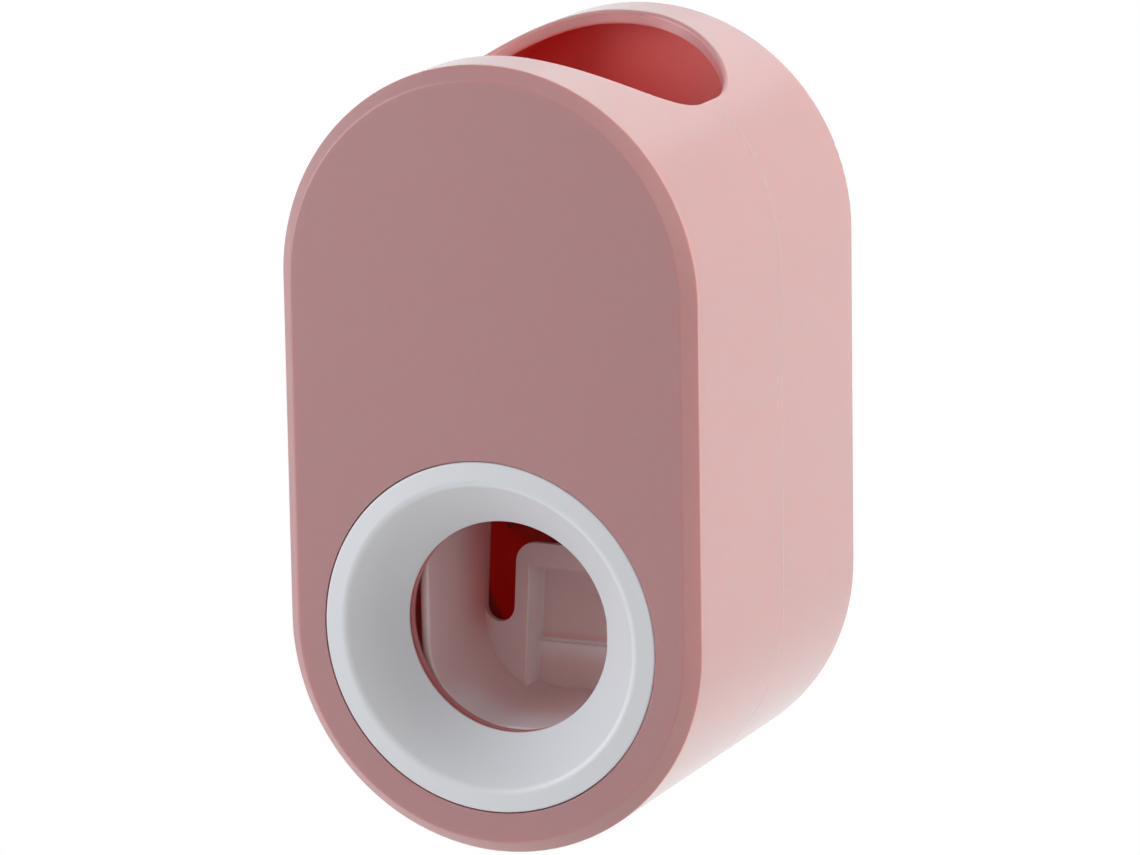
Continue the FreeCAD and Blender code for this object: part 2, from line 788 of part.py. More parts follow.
def make_inlet_valve():
    low = socket_floor_z
    high = socket_floor_z + flap_thickness
    disc = upright_rod(seal_radius, low, high, 0, tube_depth)
    slit = upright_rod(flap_radius, low - overshoot, high + overshoot, 0, tube_depth)
    slit = slit.cut(upright_rod(flap_radius - flap_slit, low - overshoot, high + overshoot, 0, tube_depth))
    hinge = block(-flap_hinge_width / 2, flap_hinge_width / 2, tube_depth, tube_depth + flap_radius + overshoot,
                  low - overshoot, high + overshoot)
    return disc.cut(slit.cut(hinge))


def make_tube_seal():
    low = socket_floor_z + flap_thickness
    lift = low + seal_cup_depth
    return turned_upright([
        (seal_bore_radius + seal_cup_depth, low),
        (seal_radius, low),
        (seal_radius, seal_top_z),
        (seal_bore_radius + seal_bore_bevel, seal_top_z),
        (seal_bore_radius, seal_top_z - seal_bore_bevel),
        (seal_bore_radius, lift),
    ], tube_depth)


def make_seal_collar():
    inner = socket_radius + collar_gap
    outer = inner + collar_wall
    low = bore_z + barrel_radius + collar_lift
    top = seal_top_z + collar_top_wall
    collar = turned_upright([
        (inner, low),
        (outer, low),
        (outer, top),
        (collar_bore_radius, top),
        (collar_bore_radius, seal_top_z),
        (inner, seal_top_z),
    ], tube_depth)
    for index in range(grip_count):
        angle = 2 * math.pi * index / grip_count
        reach = outer + grip_radius - grip_depth
        grip = upright_rod(grip_radius, low - overshoot, top + overshoot,
                           reach * math.cos(angle), tube_depth + reach * math.sin(angle))
        collar = collar.cut(grip)
    return collar


def make_screw(head_depth, length, x, z):
    """Pan-head screw whose head's underside is at head_depth and whose shank runs backwards."""
    top = head_depth - screw_head_height
    screw = turned_level([
        (0, top),
        (screw_head_radius - screw_head_height / 2, top),
        (screw_head_radius, head_depth - screw_head_height / 2),
        (screw_head_radius, head_depth),
        (screw_radius, head_depth),
        (screw_radius, head_depth + length - screw_radius),
        (0, head_depth + length),
    ], 0)
    arm = screw_head_radius / 2
    slot = screw_slot / 2
    for half_x, half_z in ((arm, slot), (slot, arm)):
        screw = screw.cut(block(-half_x, half_x, top - overshoot, top + screw_slot_depth, -half_z, half_z))
    screw.translate(Vector(x, 0, z))
    return screw


def make_pump_screws():
    return Part.makeCompound([make_screw(flange_front, screw_length, x, z) for x, z in boss_places()])


def make_piston_screw():
    return make_screw(yoke_front, piston_screw_length, 0, bore_z)


def biarc(start, start_way, end, end_way):
    """Two arcs from start to end that leave and arrive along the given unit directions."""
    chord = end - start
    both = start_way + end_way
    spread = 2 * (1 - start_way.dot(end_way))
    lean = chord.dot(both)
    reach = (-lean + math.sqrt(lean * lean + spread * chord.dot(chord))) / spread
    joint = (start + end + (start_way - end_way) * reach) * 0.5
    arcs = []
    for first, last, corner in ((start, joint, start + start_way * reach),
                                (joint, end, end - end_way * reach)):
        half_chord = (last - first) * 0.5
        middle = first + half_chord
        rise = corner - middle
        angle = math.atan2(rise.Length, half_chord.Length)
        sagitta = half_chord.Length * math.tan(angle / 2)
        arcs.append(Part.Arc(first, middle + rise * (sagitta / rise.Length), last).toShape())
    return arcs


def make_return_spring():
    """One coil between the foot on the cup's pan and the rear seat, its end turns cut flat to seat."""
    pitch = (spring_seat - spring_front) / spring_turns
    lead = math.pi / 2

    def spot(angle):
        return at(spring_radius * math.cos(angle), spring_front + pitch * angle / (2 * math.pi),
                  spring_z + spring_radius * math.sin(angle))

    def way(angle):
        rise = pitch / (2 * math.pi)
        direction = Vector(-spring_radius * math.sin(angle), rise, spring_radius * math.cos(angle))
        return direction.normalize()

    edges = []
    for index in range(2 * spring_turns + 1):
        low = index * math.pi - lead
        high = low + math.pi
        edges += biarc(spot(low), way(low), spot(high), way(high))
    path = Part.Wire(edges)
    section = Part.Wire([Part.makeCircle(spring_wire / 2, spot(-lead), way(-lead))])
    coil = path.makePipeShell([section], True, False)
    reach = spring_radius + spring_wire
    keep = block(-reach, reach, spring_front, spring_seat, spring_z - reach, spring_z + reach)
    print("return spring, least gap between turns:", round(pitch - spring_wire, 2), "mm")
    return coil.common(keep)


def make_wall_plate():
    half = plate_side / 2
    plate = panel(half, -half, half, plate_corner, plate_front, wall_depth - pad_thickness)
    stem = block(-stem_width / 2, stem_width / 2, head_front, plate_front + plate_wall / 2,
                 -stem_height / 2, stem_height / 2)
    head = block(-head_width / 2, head_width / 2, head_front, head_rear, -stem_height / 2, stem_height / 2)
    return plate.fuse([stem, head]).removeSplitter()


def make_adhesive_pad():
    half = pad_side / 2
    return panel(half, -half, half, pad_corner, wall_depth - pad_thickness, wall_depth)


makers = {
    "front_housing": make_front_housing,
    "rear_housing": make_rear_housing,
    "funnel_ring": make_funnel_ring,
    "brush_cup": make_brush_cup,
    "piston_yoke": make_piston_yoke,
    "piston": make_piston,
    "piston_seal": make_piston_seal,
    "piston_screw": make_piston_screw,
    "pump_block": make_pump_block,
    "cylinder_plug": make_cylinder_plug,
    "plug_seal": make_plug_seal,
    "channel_cover": make_channel_cover,
    "nozzle": make_nozzle,
    "inlet_valve": make_inlet_valve,
    "tube_seal": make_tube_seal,
    "seal_collar": make_seal_collar,
    "pump_screws": make_pump_screws,
    "return_spring": make_return_spring,
    "wall_plate": make_wall_plate,
    "adhesive_pad": make_adhesive_pad,
}

os.makedirs("parts", exist_ok=True)
for node, make in makers.items():
    shape = make()
    shape.exportStep("parts/" + node + ".step")
    print(node, len(shape.Solids), shape.isValid(), round(shape.Volume, 1))
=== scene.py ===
import bpy
import bmesh
import json
import math
from mathutils import Matrix, Vector


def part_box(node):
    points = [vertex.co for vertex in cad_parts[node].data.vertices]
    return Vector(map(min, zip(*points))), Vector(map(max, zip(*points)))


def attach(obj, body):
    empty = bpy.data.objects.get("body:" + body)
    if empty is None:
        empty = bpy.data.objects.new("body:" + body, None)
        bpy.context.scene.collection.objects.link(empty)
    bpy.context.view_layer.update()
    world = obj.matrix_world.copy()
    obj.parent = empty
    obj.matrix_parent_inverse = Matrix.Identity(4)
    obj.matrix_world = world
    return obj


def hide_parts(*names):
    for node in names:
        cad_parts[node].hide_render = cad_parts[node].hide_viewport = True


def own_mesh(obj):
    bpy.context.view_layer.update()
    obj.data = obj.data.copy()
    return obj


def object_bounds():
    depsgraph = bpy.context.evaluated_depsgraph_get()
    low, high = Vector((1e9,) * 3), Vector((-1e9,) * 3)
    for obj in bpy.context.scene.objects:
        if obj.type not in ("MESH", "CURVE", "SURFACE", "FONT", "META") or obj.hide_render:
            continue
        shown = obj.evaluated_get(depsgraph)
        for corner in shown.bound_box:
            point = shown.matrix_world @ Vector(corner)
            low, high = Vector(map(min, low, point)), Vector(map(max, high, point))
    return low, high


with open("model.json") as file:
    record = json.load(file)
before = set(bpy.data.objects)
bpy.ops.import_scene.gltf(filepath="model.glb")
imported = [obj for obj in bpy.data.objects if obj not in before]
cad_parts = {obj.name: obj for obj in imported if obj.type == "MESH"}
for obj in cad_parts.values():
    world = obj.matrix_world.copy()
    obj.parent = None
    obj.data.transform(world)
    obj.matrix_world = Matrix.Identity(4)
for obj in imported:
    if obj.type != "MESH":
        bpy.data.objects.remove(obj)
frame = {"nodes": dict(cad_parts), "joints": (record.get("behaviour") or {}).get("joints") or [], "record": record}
nodes = frame["nodes"]
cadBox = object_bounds()
scene = bpy.context.scene
scene.view_settings.view_transform = "Standard"
mm = 0.001
print("frame loaded:", len(nodes), "nodes")


class Wire:
    # one node socket: sums and products on it add Math nodes, add() makes any other node

    def __init__(self, tree, socket=None):
        self.tree = tree
        self.socket = socket

    def add(self, kind, settings=None, inputs=None, output=0):
        node = self.tree.nodes.new(kind)
        for key, value in (settings or {}).items():
            setattr(node, key, value)
        for key, value in (inputs or {}).items():
            if isinstance(value, Wire):
                self.tree.links.new(value.socket, node.inputs[key])
            else:
                node.inputs[key].default_value = value
        return Wire(self.tree, node.outputs[output] if node.outputs else None)

    def also(self, output):
        # another output of the same node
        return Wire(self.tree, self.socket.node.outputs[output])

    def maths(self, operation, first, second=0.0):
        return self.add("ShaderNodeMath", {"operation": operation}, {0: first, 1: second})

    def through(self, operation, second=0.0):
        return self.maths(operation, self, second)

    def step(self, span):
        # 0 below the span, 1 above it, smooth between
        return self.add("ShaderNodeMapRange", {"interpolation_type": "SMOOTHSTEP"},
                        {"Value": self, "From Min": span[0], "From Max": span[1]})

    def blend(self, first, second):
        # the first colour where this is 0, the second where it is 1
        return self.add("ShaderNodeMix", {"data_type": "RGBA"}, {0: self, 6: first, 7: second}, 2)

    def __abs__(self):
        return self.through("ABSOLUTE")

    def __add__(self, other):
        return self.through("ADD", other)

    def __radd__(self, other):
        return self.maths("ADD", other, self)

    def __sub__(self, other):
        return self.through("SUBTRACT", other)

    def __rsub__(self, other):
        return self.maths("SUBTRACT", other, self)

    def __mul__(self, other):
        return self.through("MULTIPLY", other)

    def __rmul__(self, other):
        return self.maths("MULTIPLY", other, self)

    def __truediv__(self, other):
        return self.through("DIVIDE", other)

    def __rtruediv__(self, other):
        return self.maths("DIVIDE", other, self)


def newMaterial(name):
    # an empty material, a wire to build on and the point's own place
    made = bpy.data.materials.new(name)
    made.use_nodes = True
    made.node_tree.nodes.clear()
    wire = Wire(made.node_tree)
    return made, wire, wire.add("ShaderNodeTexCoord", output="Object")


def noiseOn(place, scale, detail=2.0, roughness=0.5):
    return place.add("ShaderNodeTexNoise", {}, {"Vector": place, "Scale": scale, "Detail": detail,
                                                "Roughness": roughness})


def bumped(height, strength, distance):
    return height.add("ShaderNodeBump", {}, {"Strength": strength, "Distance": distance, "Height": height})


def surfaced(made, wire, inputs):
    shader = wire.add("ShaderNodeBsdfPrincipled", {}, inputs)
    wire.add("ShaderNodeOutputMaterial", {}, {"Surface": shader})
    return made


def axes(place):
    split = place.add("ShaderNodeSeparateXYZ", {}, {0: place})
    return {axis: split.also(axis) for axis in "XYZ"}


def belowSkin(at, finish):
    # how far a point lies inside the shell's obround outline
    above = (at["Z"] - finish["crown"]).through("MAXIMUM", 0.0)
    below = (finish["mouth"] - at["Z"]).through("MAXIMUM", 0.0)
    beyond = above + below
    return finish["half"] - (at["X"] * at["X"] + beyond * beyond).through("SQRT")


def insideShell(at, sunk, finish):
    # 0 on the outer skin, up to 1 on the inner faces, where red is painted for the light that comes through the
    # wall
    deep = at["Y"] - finish["front"]
    drop = finish["recessDrop"]
    away = abs(at["X"]).through("MAXIMUM", abs(at["Z"] + drop) - drop)
    recess = 1.0 - away.step(finish["recessEdge"])
    behind = finish["rear"] - at["Y"] - recess * finish["recessDepth"]
    low = at["Z"] - finish["mouth"]
    bore = (at["X"] * at["X"] + low * low).through("SQRT")
    # the collar and the low front inner walls get less of the painted red light
    collar = (1.0 - bore.step(finish["collarEdge"])) * (1.0 - deep.step(finish["collarEnd"]))
    dim = (1.0 - at["Z"].step(finish["dimTop"])) * (1.0 - sunk.step(finish["dimDepth"]))
    shaded = collar.through("MAXIMUM", dim) * finish["dimShare"]
    walls = sunk.step(finish["skinWall"]) * deep.step(finish["frontWall"]) * behind.step(finish["rearWall"])
    return walls * (1.0 - shaded)


def shellColour(at, sunk, colour, finish):
    # skin, then the cut lip of the crown painted paler as a highlight and the seam's bevels painted paler against
    # their groove's shade, then red light painted on the inner faces
    deep = at["Y"] - finish["front"]
    behind = finish["rear"] - at["Y"]
    # the crown's cut lip, painted paler as a highlight
    lip = sunk.step(finish["cutFace"]) * (at["Z"] - finish["crown"]).step(finish["lipRise"])
    lip = lip * deep.step(finish["lipFront"]) * behind.step(finish["lipRear"])
    colour = lip.blend(colour, finish["lip"])
    # the seam's bevels, painted paler against the shade in their groove
    seam = 1.0 - abs(at["Y"] - finish["seam"]).step(finish["seamHalf"])
    seam = seam * (1.0 - sunk.step(finish["seamDepth"]))
    colour = seam.blend(colour, finish["seamPaintedLight"])
    # painted red light on the inner faces, painted lighter across +X where the rear wall is lit
    redLightPainted = at["X"].step(finish["paleAcross"]).blend(finish["inside"], finish["insidePaintedLit"])
    return insideShell(at, sunk, finish).blend(colour, redLightPainted)


def shellCoat(at, sunk, finish):
    # polished on the sides and crown, satin on the front and its chamfer and on cut faces
    polish = (at["Y"] - finish["front"]).step(finish["polished"]) * (1.0 - sunk.step(finish["cutFace"]))
    return finish["satin"] + polish * (finish["coat"] - finish["satin"])


def slotPaintedGlow(at, finish):
    # painted glow: red light from the shell, painted into the cup's cheeks beside the slots
    beside = abs(at["X"]).step(finish["slotSide"])
    deep = (at["Y"] - finish["tongue"]).step(finish["slotReach"])
    return beside * deep * (at["Z"] - finish["foot"]).step(finish["slotRise"]) * finish["slotShare"]


def pocketSides(at, finish):
    # thin side walls of the tongue's pocket, painted lighter for the light that comes through them
    near = 1.0 - abs(abs(at["X"]) - finish["pocket"]).step(finish["wallHalf"])
    under = 1.0 - (at["Z"] - finish["pocketTop"]).step(finish["wallTop"])
    return near * under * (at["Y"] - finish["tongue"]).step(finish["wallReach"])


def frontFloor(at, finish):
    # the cup's floor just behind the mouth, out of the shell's red light, painted paler for the white light that
    # falls there
    low = 1.0 - (at["Z"] - finish["floor"]).step(finish["floorRise"])
    return low * (1.0 - (at["Y"] - finish["tongue"]).step(finish["floorReach"]))


def ledgeBand(at, finish, low, high):
    # a soft band across the pocket, from low to high above its ledge, where a painted highlight or a painted
    # shadow goes
    above = at["Z"] - finish["ledge"]
    band = above.step(low) * (1.0 - above.step(high))
    within = 1.0 - (abs(at["X"]) - finish["pocket"]).step(finish["bandSide"])
    return band * within * (at["Y"] - finish["tongue"]).step(finish["bandReach"])


def cupColour(at, colour, finish):
    # painted light: red light that comes through the shell and light through the cup's own thin walls, then a
    # painted highlight below the ledge and a painted shadow along it
    colour = slotPaintedGlow(at, finish).blend(colour, finish["paintedRed"])
    colour = pocketSides(at, finish).blend(colour, finish["paintedLit"])
    colour = frontFloor(at, finish).blend(colour, finish["clear"])
    # painted highlight in a band just below the ledge
    lit = ledgeBand(at, finish, *finish["litBand"]) * finish["litShare"]
    colour = lit.blend(colour, finish["paintedLit"])
    # painted shadow in a band along the ledge and just above it
    shaded = ledgeBand(at, finish, *finish["shadeBand"]) * finish["shadeShare"]
    return shaded.blend(colour, finish["paintedRed"])


grainDepth = 0.04 * mm    # height of the moulded grain on every plastic


def plasticMaterial(finish):
    # moulded plastic: slow drift of tint, cloudy gloss and a fine eroded grain
    made, wire, place = newMaterial(finish["name"])
    colour = noiseOn(place, finish["driftScale"]).blend(finish["tint"], finish["colour"])
    cloud = noiseOn(place, finish["cloudScale"], detail=3.0)
    grain = noiseOn(place, finish["grainScale"])
    inputs = {"Roughness": finish["roughness"] + (cloud - 0.5) * finish["cloud"], "IOR": finish["ior"],
              "Normal": bumped(grain, finish["grain"], grainDepth)}
    if "depth" in finish:
        inputs.update({"Subsurface Weight": finish["scatter"], "Subsurface Radius": finish["radius"],
                       "Subsurface Scale": finish["depth"]})
    if "coat" in finish:
        inputs.update({"Coat Weight": finish["coat"], "Coat Roughness": finish["coatRoughness"]})
    if "inside" in finish:
        at = axes(place)
        sunk = belowSkin(at, finish)
        colour = shellColour(at, sunk, colour, finish)
        inputs["Coat Weight"] = shellCoat(at, sunk, finish)
    if "paintedRed" in finish:
        colour = cupColour(axes(place), colour, finish)
    inputs["Base Color"] = colour
    return surfaced(made, wire, inputs)


# pairs in mm are spans over which a mask goes from 0 to 1
shellLow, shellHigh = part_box("front_housing")
pinkShell = {"name": "pinkShell", "colour": (0.504, 0.259, 0.267, 1), "tint": (0.522, 0.265, 0.275, 1),
             "driftScale": 22.0, "cloudScale": 60.0, "grainScale": 2600.0, "roughness": 0.42, "cloud": 0.10,
             "grain": 0.10, "ior": 1.5, "scatter": 0.8, "radius": (1.0, 0.10, 0.08), "depth": 2.5 * mm,
             "coat": 0.95, "coatRoughness": 0.16, "satin": 0.20, "polished": (1.8 * mm, 2.5 * mm),
             "half": shellHigh.x, "crown": shellHigh.z - shellHigh.x, "mouth": shellLow.z + shellHigh.x,
             "front": shellLow.y, "rear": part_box("rear_housing")[1].y, "seam": shellHigh.y,
             # painted red light on the shell's inner faces, and a lighter painted red where the rear wall is lit
             "inside": (0.95, 0.165, 0.155, 1), "insidePaintedLit": (0.90, 0.375, 0.37, 1),
             "paleAcross": (-10.0 * mm, 22.0 * mm), "skinWall": (1.5 * mm, 2.0 * mm),
             "frontWall": (1.7 * mm, 2.1 * mm), "rearWall": (1.5 * mm, 1.9 * mm),
             "recessDrop": 5.5 * mm, "recessEdge": (23.2 * mm, 23.6 * mm), "recessDepth": 1.8 * mm,
             "collarEdge": (16.2 * mm, 16.6 * mm), "collarEnd": (9.8 * mm, 10.0 * mm),
             "dimTop": (-16.0 * mm, -12.0 * mm), "dimDepth": (3.0 * mm, 4.0 * mm), "dimShare": 0.75,
             # the crown's cut lip is painted paler as a highlight
             "lip": (0.73, 0.39, 0.40, 1), "cutFace": (0.3 * mm, 0.8 * mm), "lipRise": (0.0, 4.0 * mm),
             "lipFront": (4.0 * mm, 5.0 * mm), "lipRear": (2.0 * mm, 3.0 * mm),
             # the seam's bevels are painted paler against the shade in their groove
             "seamPaintedLight": (0.72, 0.45, 0.45, 1), "seamHalf": (0.08 * mm, 0.16 * mm),
             "seamDepth": (0.2 * mm, 0.4 * mm)}
ringWhite = {"name": "ringWhite", "colour": (0.75, 0.762, 0.80, 1), "tint": (0.77, 0.782, 0.81, 1),
             "driftScale": 30.0, "cloudScale": 80.0, "grainScale": 3000.0, "roughness": 0.42, "cloud": 0.08,
             "grain": 0.08, "ior": 1.5, "coat": 0.35, "coatRoughness": 0.28}
coreWhite = {"name": "coreWhite", "colour": (0.80, 0.74, 0.75, 1), "tint": (0.83, 0.78, 0.78, 1),
             "driftScale": 40.0, "cloudScale": 90.0, "grainScale": 2400.0, "roughness": 0.42, "cloud": 0.10,
             "grain": 0.10, "ior": 1.49, "scatter": 0.3, "radius": (1.0, 0.75, 0.72), "depth": 2.0 * mm}
# the cup's pink is painted for the red light that comes through the shell
cupPaintedLight = {"name": "cupPaintedLight", "colour": (0.86, 0.63, 0.63, 1), "tint": (0.88, 0.66, 0.66, 1),
            "driftScale": 40.0, "cloudScale": 90.0, "grainScale": 2400.0, "roughness": 0.40, "cloud": 0.10,
            "grain": 0.10, "ior": 1.49, "scatter": 0.4, "radius": (1.0, 0.5, 0.45), "depth": 3.0 * mm,
            "tongue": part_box("brush_cup")[0].y + 19.0 * mm, "foot": -40.5 * mm, "floor": -50.3 * mm,
            "pocket": 6.9 * mm, "pocketTop": -32.1 * mm, "ledge": -43.4 * mm,
            # painted red glow beside the slots; the same red is used for the painted shadow at the ledge
            "paintedRed": (0.86, 0.36, 0.34, 1), "slotSide": (11.8 * mm, 13.7 * mm), "slotReach": (-10.0 * mm, 0.0),
            "slotRise": (-5.0 * mm, 3.0 * mm), "slotShare": 0.8,
            # paler paint for light through the pocket's thin walls and under the ledge
            "paintedLit": (1.0, 0.92, 0.91, 1), "wallHalf": (0.08 * mm, 0.30 * mm), "wallTop": (-0.3 * mm, 0.0),
            "wallReach": (-2.0 * mm, 0.0),
            # the cup's floor behind the mouth, painted paler for the white light there
            "clear": (0.92, 0.80, 0.82, 1), "floorRise": (2.0 * mm, 6.0 * mm),
            "floorReach": (-15.0 * mm, -7.0 * mm),
            "bandSide": (-0.4 * mm, 0.0), "bandReach": (2.5 * mm, 3.5 * mm),
            # painted highlight below the ledge, painted shadow along it
            "litBand": ((-4.0 * mm, -0.6 * mm), (-0.2 * mm, 0.0)), "litShare": 0.7,
            "shadeBand": ((-0.1 * mm, 0.1 * mm), (0.2 * mm, 1.2 * mm)), "shadeShare": 0.35}
plateWhite = {"name": "plateWhite", "colour": (0.78, 0.78, 0.77, 1), "tint": (0.74, 0.74, 0.74, 1),
              "driftScale": 35.0, "cloudScale": 70.0, "grainScale": 1800.0, "roughness": 0.46, "cloud": 0.14,
              "grain": 0.18, "ior": 1.5}
silicone = {"name": "clearSilicone", "colour": (0.74, 0.75, 0.76, 1), "tint": (0.68, 0.70, 0.72, 1),
            "driftScale": 60.0, "cloudScale": 120.0, "grainScale": 1500.0, "roughness": 0.5, "cloud": 0.16,
            "grain": 0.12, "ior": 1.41, "scatter": 0.5, "radius": (1.0, 0.9, 0.85), "depth": 2.0 * mm}

finishes = {
    "pink_shell": plasticMaterial(pinkShell),
    "ring_white": plasticMaterial(ringWhite),
    "core_white": plasticMaterial(coreWhite),
    "plate_white": plasticMaterial(plateWhite),
    "silicone": plasticMaterial(silicone),
}


def metalMaterial(finish):
    # drawn or rolled steel: long scratches along the piece and a patchy dull film
    made, wire, place = newMaterial(finish["name"])
    stretched = wire.add("ShaderNodeMapping", {}, {"Vector": place, "Scale": finish["stretch"]})
    scratch = noiseOn(stretched, finish["scratchScale"], detail=4.0, roughness=0.6)
    film = noiseOn(place, finish["filmScale"], detail=3.0)
    colour = film.blend(finish["dark"], finish["light"])
    gloss = finish["roughness"] + (scratch - 0.5) * finish["scratch"] + (film - 0.5) * finish["film"]
    return surfaced(made, wire, {"Base Color": colour, "Metallic": 1.0, "Roughness": gloss,
                                 "Normal": bumped(scratch, finish["bump"], finish["bumpDepth"])})


zincScrew = {"name": "zincScrew", "light": (0.72, 0.71, 0.68, 1), "dark": (0.50, 0.50, 0.49, 1),
             "stretch": (1.0, 0.15, 1.0), "scratchScale": 1800.0, "filmScale": 500.0, "roughness": 0.30,
             "scratch": 0.22, "film": 0.1, "bump": 0.15, "bumpDepth": 0.03 * mm}
springWire = {"name": "springWire", "light": (0.60, 0.60, 0.61, 1), "dark": (0.42, 0.42, 0.44, 1),
              "stretch": (1.0, 1.0, 1.0), "scratchScale": 900.0, "filmScale": 300.0, "roughness": 0.26,
              "scratch": 0.18, "film": 0.1, "bump": 0.15, "bumpDepth": 0.03 * mm}
finishes["steel"] = metalMaterial(zincScrew)
finishes["spring_steel"] = metalMaterial(springWire)

padFoam = {"name": "padFoam", "colour": (0.72, 0.72, 0.70, 1), "tint": (0.62, 0.62, 0.60, 1),
           "cellScale": 900.0, "patchScale": 70.0, "patchShare": 0.6, "cellShare": 0.4, "roughness": 0.78,
           "patch": 0.15, "bump": 0.35, "bumpDepth": 0.1 * mm}


def foamMaterial(finish):
    # closed-cell foam: fine cells with broad duller patches
    made, wire, place = newMaterial(finish["name"])
    cells = wire.add("ShaderNodeTexVoronoi", {"feature": "F1"},
                     {"Vector": place, "Scale": finish["cellScale"]})
    patch = noiseOn(place, finish["patchScale"], detail=3.0)
    dull = patch * finish["patchShare"] + cells * finish["cellShare"]
    colour = dull.blend(finish["colour"], finish["tint"])
    gloss = finish["roughness"] + (patch - 0.5) * finish["patch"]
    return surfaced(made, wire, {"Base Color": colour, "Roughness": gloss,
                                 "Normal": bumped(cells, finish["bump"], finish["bumpDepth"])})


finishes["pad_foam"] = foamMaterial(padFoam)
print("materials made:", ", ".join(sorted(finishes)))

for subpart in frame["record"]["subparts"]:
    for held in nodes[subpart["node"]].material_slots:
        held.material = finishes[subpart["material_slot"]]
nodes["brush_cup"].material_slots[0].material = plasticMaterial(cupPaintedLight)    # milky cup, its pink tint painted for the red light that comes through the shell
print("finishes set on", len(nodes), "nodes")


def newTree(name, sizes):
    # a Geometry Nodes tree with one named input for each size
    tree = bpy.data.node_groups.new(name, "GeometryNodeTree")
    tree.interface.new_socket(name="Piece", in_out="OUTPUT", socket_type="NodeSocketGeometry")
    for label, value in sizes.items():
        kind = "NodeSocketInt" if isinstance(value, int) else "NodeSocketFloat"
        tree.interface.new_socket(name=label, in_out="INPUT", socket_type=kind)
    wire = Wire(tree)
    inlet = wire.add("NodeGroupInput")
    return wire, {label: inlet.also(label) for label in sizes}


def vector(wire, x=0.0, y=0.0, z=0.0):
    return wire.add("ShaderNodeCombineXYZ", {}, {0: x, 1: y, 2: z})


def shifted(shape, offset, turn=(0, 0, 0)):
    return shape.add("GeometryNodeTransform", {}, {"Geometry": shape, "Translation": offset,
                                                   "Rotation": turn})


def swept(path, sides, radius):
    # a rod with that many sides along a path
    circle = path.add("GeometryNodeCurvePrimitiveCircle", {}, {"Resolution": sides, "Radius": radius})
    return path.add("GeometryNodeCurveToMesh", {}, {"Curve": path, "Profile Curve": circle,
                                                    "Fill Caps": True})


def smoothed(mesh, crease):
    mesh.shade_smooth()
    mesh.set_sharp_from_angle(angle=math.radians(crease))


bakedCrease = 40    # degrees past which an edge stays sharp, on pieces made by nodes
meshedCrease = 50    # the same on pieces made point by point


def bakeTree(wire, shape, name, sizes, material):
    solid = wire.add("GeometryNodeRealizeInstances", {}, {0: shape})
    dressed = wire.add("GeometryNodeSetMaterial", {}, {"Geometry": solid, "Material": material})
    wire.add("NodeGroupOutput", {}, {0: dressed})
    piece = bpy.data.objects.new(name, bpy.data.meshes.new(name))
    scene.collection.objects.link(piece)
    build = piece.modifiers.new("build", "NODES")
    build.node_group = wire.tree
    for item in wire.tree.interface.items_tree:
        if item.in_out == "INPUT":
            build[item.identifier] = sizes[item.name]
    depsgraph = bpy.context.evaluated_depsgraph_get()
    mesh = bpy.data.meshes.new_from_object(piece.evaluated_get(depsgraph), depsgraph=depsgraph)
    piece.modifiers.remove(build)
    piece.data = mesh
    smoothed(mesh, bakedCrease)
    print(name, "baked:", len(mesh.polygons), "faces")
    return piece


def settle(piece, body, node):
    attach(piece, body)
    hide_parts(node)


# return spring: closed end turns, open turns between
springLow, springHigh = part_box("return_spring")
springRod = 0.9 * mm
returnSpring = {"Turns": 7.0, "Closed Turns": 1.0, "Wire": springRod, "Sides": 12, "Points": 420,
                "Radius": (springHigh.x - springLow.x - springRod) / 2, "Length": springHigh.y - springLow.y,
                "Front": springLow.y, "Height": (springLow.z + springHigh.z) / 2}


def makeSpring(sizes):
    wire, size = newTree("returnSpring", sizes)
    line = wire.add("GeometryNodeCurvePrimitiveLine")
    path = wire.add("GeometryNodeResampleCurve", {"mode": "COUNT"}, {"Curve": line, "Count": size["Points"]})
    turn = wire.add("GeometryNodeSplineParameter", output="Factor") * size["Turns"]
    angle = turn * (2 * math.pi)
    opened = size["Turns"] - 2 * size["Closed Turns"]
    pitch = (size["Length"] - size["Wire"] * (1 + 2 * size["Closed Turns"])) / opened
    rising = (turn - size["Closed Turns"]).through("MAXIMUM", 0.0).through("MINIMUM", opened)
    spot = vector(wire, size["Radius"] * angle.through("COSINE"),
                  size["Front"] + size["Wire"] * (turn - rising + 0.5) + pitch * rising,
                  size["Height"] + size["Radius"] * angle.through("SINE"))
    coil = wire.add("GeometryNodeSetPosition", {}, {"Geometry": path, "Position": spot})
    rod = swept(coil, size["Sides"], size["Wire"] / 2)
    piece = bakeTree(wire, rod, "returnSpring", sizes, finishes["spring_steel"])
    settle(piece, "housing", "return_spring")
    stroke = next(joint["range_m"][1] for joint in frame["joints"] if joint["name"] == "cup_push")
    (sizes["Length"] - stroke) / sizes["Length"]
    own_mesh(piece)


makeSpring(returnSpring)


# pan-head screws with a cross recess and a rolled thread; dome gives rise and draw of each step of the head
screwForm = {"headSides": 40, "shankSides": 24, "threadSteps": 20, "threadSides": 4, "perRow": 2,
             "wall": 0.5, "dome": ((0.16, 0.97), (0.14, 0.92), (0.12, 0.84), (0.08, 0.70)), "point": 0.2}


def screwSizes(node, count, length):
    low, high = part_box(node)
    radius = 2.6 * mm
    return {"Count": count, "Head Radius": radius, "Head Height": 1.6 * mm, "Shank Radius": 1.1 * mm,
            "Thread Ridge": 0.28 * mm, "Thread Pitch": 0.9 * mm, "Length": length, "Recess Width": 0.62 * mm,
            "Recess Reach": 2.6 * mm, "Recess Depth": 0.7 * mm, "First X": low.x + radius, "Front Y": low.y,
            "First Z": low.z + radius, "Step X": high.x - low.x - 2 * radius,
            "Step Z": high.z - low.z - 2 * radius}


